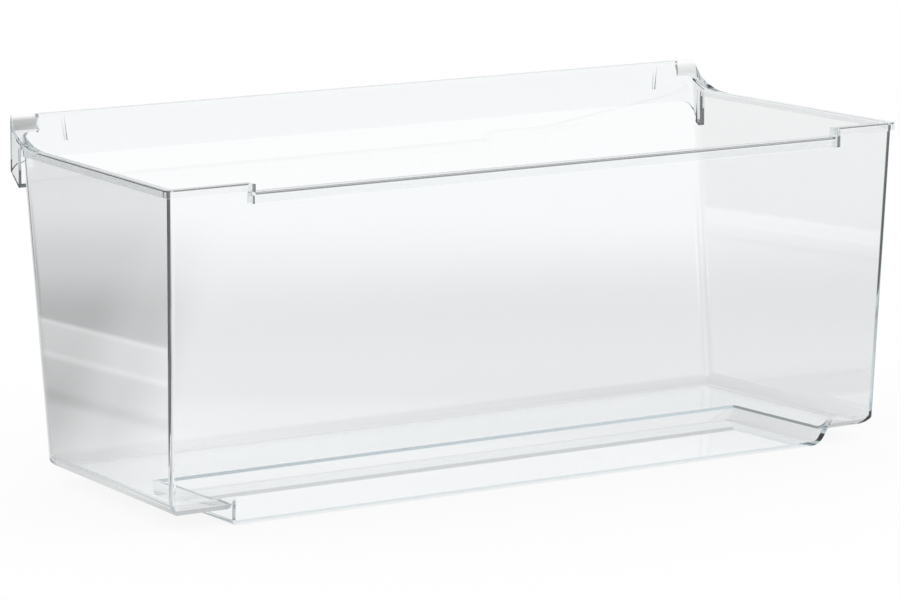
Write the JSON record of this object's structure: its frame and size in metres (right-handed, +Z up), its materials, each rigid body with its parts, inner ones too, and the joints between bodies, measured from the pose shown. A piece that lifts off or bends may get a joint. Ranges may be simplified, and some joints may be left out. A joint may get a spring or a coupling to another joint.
{
  "type": "crisper drawer",
  "caption": "Clear moulded fridge crisper drawer: an open tapered tub with rolled rims, a lowered front grip, a raised back panel with side wings, and a shallow floor well that it stands on.",
  "frame": {"origin": "on the surface that the drawer stands on, under the middle of its outer box", "axes": "+Z up, front with the lowered grip towards -Y, +X to the right as seen from the front"},
  "size_m": [0.456, 0.1832, 0.1922],
  "materials": {
    "clear_polystyrene": "clear, glossy"
  },
  "bodies": {
    "root": {"floor_tray": "clear_polystyrene", "floor_well": "clear_polystyrene", "front_wall": "clear_polystyrene", "rear_wall": "clear_polystyrene", "left_wall": "clear_polystyrene", "right_wall": "clear_polystyrene", "front_left_corner": "clear_polystyrene", "front_right_corner": "clear_polystyrene", "rear_left_corner": "clear_polystyrene", "rear_right_corner": "clear_polystyrene", "left_rim": "clear_polystyrene", "right_rim": "clear_polystyrene", "front_left_rim": "clear_polystyrene", "front_right_rim": "clear_polystyrene", "front_lip": "clear_polystyrene", "lip_left_end": "clear_polystyrene", "lip_right_end": "clear_polystyrene", "rear_ledge": "clear_polystyrene", "back_panel": "clear_polystyrene", "left_wing": "clear_polystyrene", "right_wing": "clear_polystyrene", "panel_ribs": "clear_polystyrene"}
  },
  "joints": []
}
